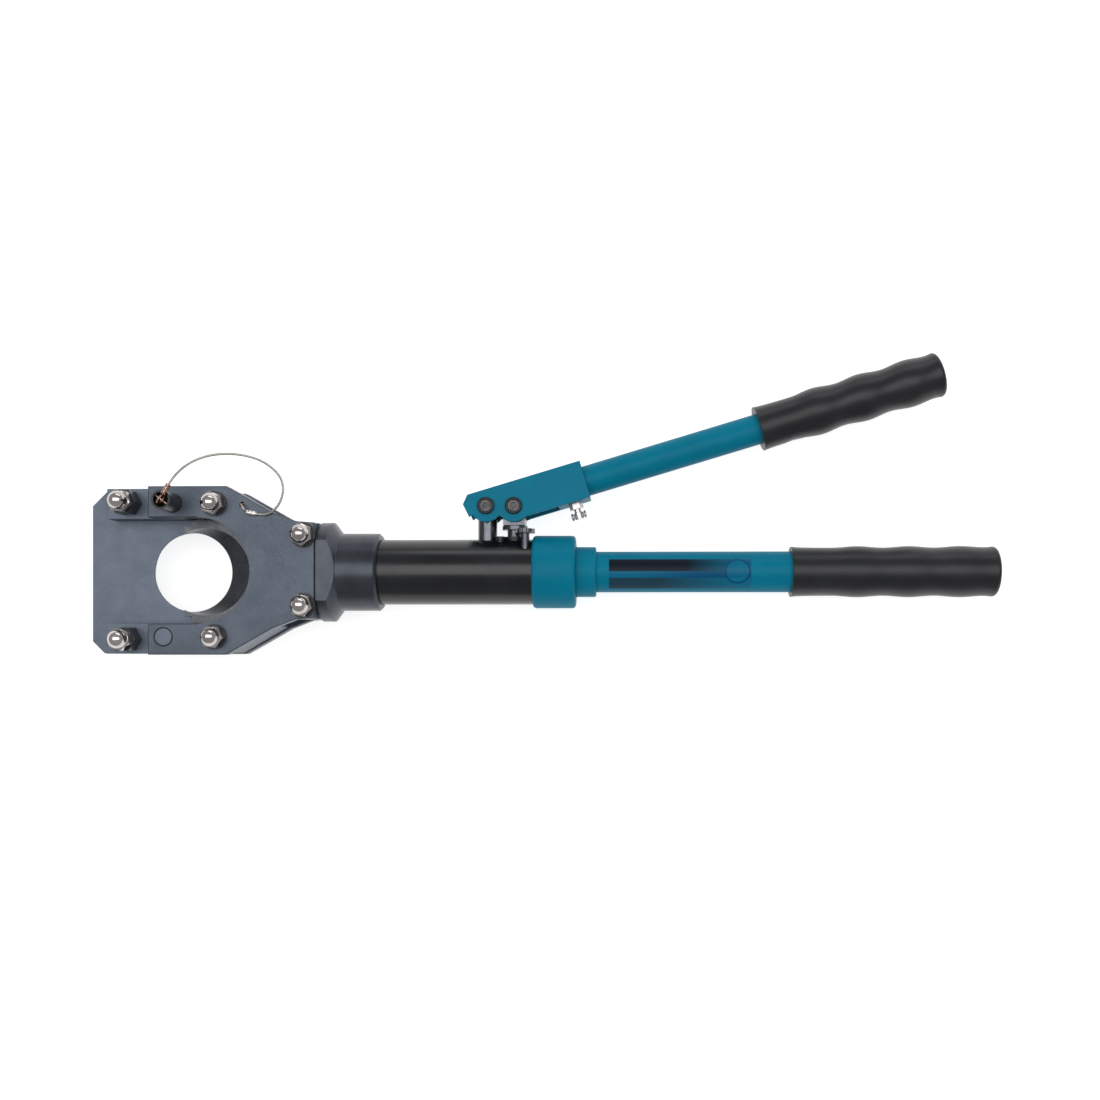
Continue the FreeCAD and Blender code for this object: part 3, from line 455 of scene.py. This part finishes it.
finishes = {
    "headSteel": metalFinish("headSteel", {
        "dark": (0.068, 0.082, 0.105), "light": (0.086, 0.102, 0.128), "bare": (0.32, 0.33, 0.34),
        "metal": 0.55, "rough": (0.36, 0.46), "fine": 700.0, "bump": 0.12, "specular": 0.30,
        "wear": 0.45, "edgeWearAndHighlightWidth": 0.0006, "soft": 0.0005}),
    "jawSteel": metalFinish("jawSteel", {
        "dark": (0.105, 0.126, 0.160), "light": (0.130, 0.153, 0.190), "bare": (0.36, 0.37, 0.38),
        "metal": 0.55, "rough": (0.38, 0.48), "fine": 700.0, "bump": 0.14, "specular": 0.30,
        "wear": 0.45, "edgeWearAndHighlightWidth": 0.0006, "soft": 0.0005}),
    "bladeSteel": metalFinish("bladeSteel", {
        "dark": (0.050, 0.053, 0.060), "light": (0.084, 0.087, 0.094), "bare": (0.42, 0.41, 0.40),
        "metal": 0.80, "specular": 0.35, "rough": (0.26, 0.38), "fine": 500.0,
        "stretch": (1, 1, 14), "bump": 0.18, "wear": 0.8, "edgeWearAndHighlightWidth": 0.0005, "soft": 0.0003}),
    "neckSteel": metalFinish("neckSteel", {
        "dark": (0.042, 0.048, 0.059), "light": (0.060, 0.067, 0.080), "bare": (0.26, 0.27, 0.28),
        "metal": 0.70, "specular": 0.35, "rough": (0.27, 0.36), "fine": 420.0,
        "stretch": (9, 1, 1), "bump": 0.10, "wear": 0.5, "edgeWearAndHighlightWidth": 0.0006, "soft": 0.0007}),
    "chrome": metalFinish("chrome", {
        "dark": (0.42, 0.385, 0.37), "light": (0.60, 0.56, 0.54), "metal": 1.0,
        "rough": (0.10, 0.18), "fine": 600.0, "bump": 0.05, "soft": 0.0005}),
    "brightChrome": metalFinish("brightChrome", {
        "dark": (0.50, 0.46, 0.45), "light": (0.68, 0.64, 0.63), "metal": 1.0,
        "rough": (0.24, 0.34), "fine": 600.0, "bump": 0.05, "soft": 0.0003}),
    "zincSteel": metalFinish("zincSteel", {
        "dark": (0.36, 0.36, 0.36), "light": (0.47, 0.46, 0.45), "metal": 1.0,
        "rough": (0.22, 0.36), "fine": 500.0, "bump": 0.1, "soft": 0.0004}),
    "blackOxide": metalFinish("blackOxide", {
        "dark": (0.014, 0.015, 0.017), "light": (0.026, 0.027, 0.030), "bare": (0.20, 0.19, 0.18),
        "metal": 0.4, "specular": 0.35, "rough": (0.24, 0.36), "fine": 600.0, "bump": 0.12,
        "wear": 0.6, "edgeWearAndHighlightWidth": 0.0004, "soft": 0.0004}),
    "pumpSteel": metalFinish("pumpSteel", {
        "dark": (0.07, 0.075, 0.088), "light": (0.13, 0.135, 0.15), "bare": (0.5, 0.5, 0.5),
        "metal": 0.95, "rough": (0.16, 0.28), "fine": 500.0, "stretch": (1, 8, 1), "bump": 0.08,
        "wear": 0.4, "edgeWearAndHighlightWidth": 0.0004, "soft": 0.0004}),
    "screwSteel": metalFinish("screwSteel", {
        "dark": (0.035, 0.036, 0.040), "light": (0.075, 0.073, 0.070), "bare": (0.30, 0.29, 0.27),
        "metal": 0.85, "rough": (0.2, 0.34), "fine": 700.0, "broad": 260.0, "bump": 0.15,
        "wear": 0.8, "edgeWearAndHighlightWidth": 0.0004, "soft": 0.0004}),
    "barrelEnamel": enamelFinish("barrelEnamel", {
        "dark": (0.0040, 0.0045, 0.0060), "light": (0.0065, 0.0072, 0.0092), "coat": 0.15,
        "coatRough": 0.16, "rough": (0.24, 0.31), "specular": 0.38, "ior": 1.5,
        "bump": 0.03, "soft": 0.0006}),
    # teal enamel: its "bare" colour is a lighter teal, laid in patches along the edges as a
    # painted highlight
    "tealEnamel": enamelFinish("tealEnamel", {
        "dark": (0.0, 0.160, 0.252), "light": (0.0, 0.180, 0.280), "bare": (0.08, 0.25, 0.33),
        "coat": 0.0, "coatRough": 0.16, "rough": (0.40, 0.48), "specular": 0.5, "ior": 1.19,
        "bump": 0.10, "wear": 0.30, "edgeWearAndHighlightWidth": 0.0007, "soft": 0.0009}),
    "gripRubber": rubberFinish("gripRubber", {
        "dark": (0.0070, 0.0075, 0.0095), "light": (0.0120, 0.0126, 0.0155), "rough": (0.30, 0.44),
        "specular": 0.36, "sheen": 0.06, "pores": 1400.0, "bump": 0.35,
        "waves": 0.08, "soft": 0.0006}),
    "copper": metalFinish("copper", {
        "dark": (0.24, 0.135, 0.10), "light": (0.52, 0.34, 0.27), "bare": (0.80, 0.62, 0.54),
        "metal": 1.0, "rough": (0.2, 0.34), "fine": 900.0, "broad": 300.0, "bump": 0.2,
        "wear": 0.7, "edgeWearAndHighlightWidth": 0.0004, "soft": 0.0003}),
    "tinnedCopper": metalFinish("tinnedCopper", {
        "dark": (0.70, 0.60, 0.56), "light": (0.88, 0.85, 0.83), "bare": (0.96, 0.94, 0.92),
        "metal": 1.0, "rough": (0.16, 0.3), "fine": 900.0, "broad": 300.0, "bump": 0.2,
        "wear": 0.5, "edgeWearAndHighlightWidth": 0.0004, "soft": 0.0003}),
    "wireSteel": metalFinish("wireSteel", {
        "dark": (0.30, 0.28, 0.25), "light": (0.44, 0.415, 0.38), "metal": 0.9,
        "rough": (0.28, 0.40), "fine": 1200.0, "bump": 0.1, "soft": 0.0001}),
    "springSteel": metalFinish("springSteel", {
        "dark": (0.30, 0.30, 0.31), "light": (0.45, 0.45, 0.46), "metal": 1.0,
        "rough": (0.24, 0.36), "fine": 900.0, "bump": 0.08, "soft": 0.0002}),
}


def labelPrint():
    # dark, mid and slate bands that fade towards the handle's end, with an empty ring
    material, tree, shader = newMaterial("labelPrint", Roughness=label["roughness"],
                                         IOR=label["ior"])
    flat = addNode(tree, "UVMap", uv_map="print").outputs["UV"]
    split = addNode(tree, "SeparateXYZ", {"Vector": flat})
    along, across = split.outputs["X"], split.outputs["Y"]

    def step(source, at, width=label["bandBlur"]):
        return spread(tree, source, 0.0, 1.0, at - width, at + width)

    def times(first, second):
        return addNode(tree, "Math", {0: first, 1: second}, operation="MULTIPLY").outputs[0]

    def lessOne(source):
        made = addNode(tree, "Math", {1: source}, operation="SUBTRACT")
        made.inputs[0].default_value = 1.0
        return made.outputs[0]

    bandLow, bandHigh, bandEnd = label["bandLow"], label["bandHigh"], label["bandEnd"]
    fade = spread(tree, along, 1.0, 0.35, 0.55, 0.92)
    upper = times(step(across, bandHigh), times(lessOne(step(across, bandEnd)), fade))
    middle = times(times(step(across, bandLow), lessOne(step(across, bandHigh))),
                   spread(tree, along, 0.35, 0.9, 0.15, 0.60))
    lower = times(lessOne(step(across, bandLow)), spread(tree, along, 0.98, 0.25, 0.35, 0.90))
    colour = mixColor(tree, upper, label["teal"], label["night"])
    colour = mixColor(tree, middle, colour, label["blue"])
    colour = mixColor(tree, lower, colour, label["slate"])
    # the ring is laid out in millimetres on the film
    wide = label["end"] - label["start"]
    high = math.radians(label["high"] - label["low"]) * label["tube"]
    middleUp = (label["ringTurn"] - label["low"]) / (label["high"] - label["low"])
    centre = addNode(tree, "VectorMath", {0: flat}, operation="SUBTRACT")
    centre.inputs[1].default_value = ((label["ringAt"] - label["start"]) / wide, middleUp, 0)
    scaled = addNode(tree, "VectorMath", {0: centre.outputs[0]}, operation="MULTIPLY")
    scaled.inputs[1].default_value = (wide, high, 0)
    away = addNode(tree, "VectorMath", {0: scaled.outputs[0]}, operation="LENGTH").outputs["Value"]
    edge, blur = label["ringRadius"], label["ringBlur"]
    within = edge - label["ringWide"]
    disc = spread(tree, away, 1.0, 0.0, edge - blur, edge + blur)
    hole = spread(tree, away, 1.0, 0.0, within - blur, within + blur)
    ring = times(disc, lessOne(hole))
    paler = addNode(tree, "Math", {0: hole}, operation="MULTIPLY")
    paler.inputs[1].default_value = label["insideRing"]
    colour = mixColor(tree, paler.outputs[0], colour, label["teal"])
    colour = mixColor(tree, ring, colour, label["ringColour"])
    tree.links.new(colour, shader.inputs["Base Color"])
    return material


finishes["labelPrint"] = labelPrint()

wearers = {
    "headSteel": ["front_plate", "rear_plate", "upper_rail", "lower_rail"],
    "jawSteel": ["fixed_jaw", "upper_jaw_bar", "lower_jaw_bar", "jaw_pivot_pin"],
    "bladeSteel": ["moving_blade"],
    "neckSteel": ["neck"],
    "chrome": ["plate_dome_nuts", "jaw_dome_nuts"],
    "brightChrome": ["wing_screw", "wing_screw_nut"],
    "zincSteel": ["plate_bolts", "jaw_bolts", "blade_pin", "ram", "delivery_ball", "suction_ball",
                  "pump_block", "piston", "bladder_plug"],
    "blackOxide": ["plate_washers", "jaw_spacer_nuts", "lock_pin", "plunger_gland", "bleed_screw"],
    "pumpSteel": ["fulcrum_post", "plunger", "release_knob"],
    "screwSteel": ["fulcrum_screw", "plunger_screw"],
    "barrelEnamel": ["barrel"],
    "tealEnamel": ["rear_collar", "handle_adapter", "handle_tube", "lever_yoke", "yoke_strap",
                   "lever_tube"],
    "gripRubber": ["handle_grip", "lever_grip", "oil_bladder", "rod_wiper", "piston_seal"],
    "copper": ["pin_eye"],
    "wireSteel": ["plate_eye"],
    "springSteel": ["return_spring"],
}


def wear(piece, finish):
    piece.data.materials.clear()
    piece.data.materials.append(finishes[finish])


for finish, names in wearers.items():
    for name in names:
        wear(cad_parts[name], finish)
wear(wireRope, "wireSteel")
wear(pinFerrule, "copper")
wear(plateFerrule, "tinnedCopper")
wear(handleLabel, "labelPrint")
wear(plateNuts, "chrome")
wear(jawNuts, "chrome")
wear(screwRings, "blackOxide")
wear(pivotSnapRing, "blackOxide")
print("materials made:", len(finishes))


studio = {
    "floorSize": 30.0, "floorColour": (0.50, 0.50, 0.50), "floorGlow": 0.78, "floorDrop": 0.0002,
    "aim": (0, 0, 0.03),
    "overhead": {"size": (2.4, 0.9), "place": (0.0, 0.12, 1.55), "power": 16.5},
    "rim": {"size": (1.6, 0.5), "place": (0.3, 1.9, 0.7), "power": 6.0},
    "world": (0.86, 0.87, 0.89), "worldPower": 0.42,
}


def makeFloor():
    shape = bmesh.new()
    bmesh.ops.create_grid(shape, x_segments=1, y_segments=1, size=studio["floorSize"] / 2)
    floor = addMesh("floor", shape)
    floor.location = (0, 0, -studio["floorDrop"])
    material, tree, shader = newMaterial("floorPaper", Roughness=0.9, Specular_IOR_Level=0.1)
    shader.inputs["Base Color"].default_value = (*studio["floorColour"], 1)
    shader.inputs["Emission Color"].default_value = (1, 1, 1, 1)
    shader.inputs["Emission Strength"].default_value = studio["floorGlow"]
    floor.data.materials.append(material)


def makeLight(name, look):
    data = bpy.data.lights.new(name, "AREA")
    data.shape = "RECTANGLE"
    data.size, data.size_y = look["size"]
    data.energy = look["power"]
    lamp = bpy.data.objects.new(name, data)
    bpy.context.collection.objects.link(lamp)
    lamp.location = look["place"]
    aim = Vector(studio["aim"]) - lamp.location
    lamp.rotation_euler = aim.to_track_quat("-Z", "Y").to_euler()


makeFloor()
for name in ("overhead", "rim"):
    makeLight(name, studio[name])
world = bpy.data.worlds.new("studio")
bpy.context.scene.world = world
world.use_nodes = True
backdrop = world.node_tree.nodes["Background"]
backdrop.inputs["Color"].default_value = (*studio["world"], 1)
backdrop.inputs["Strength"].default_value = studio["worldPower"]
bpy.context.scene.view_settings.view_transform = "Standard"
print("studio lit")
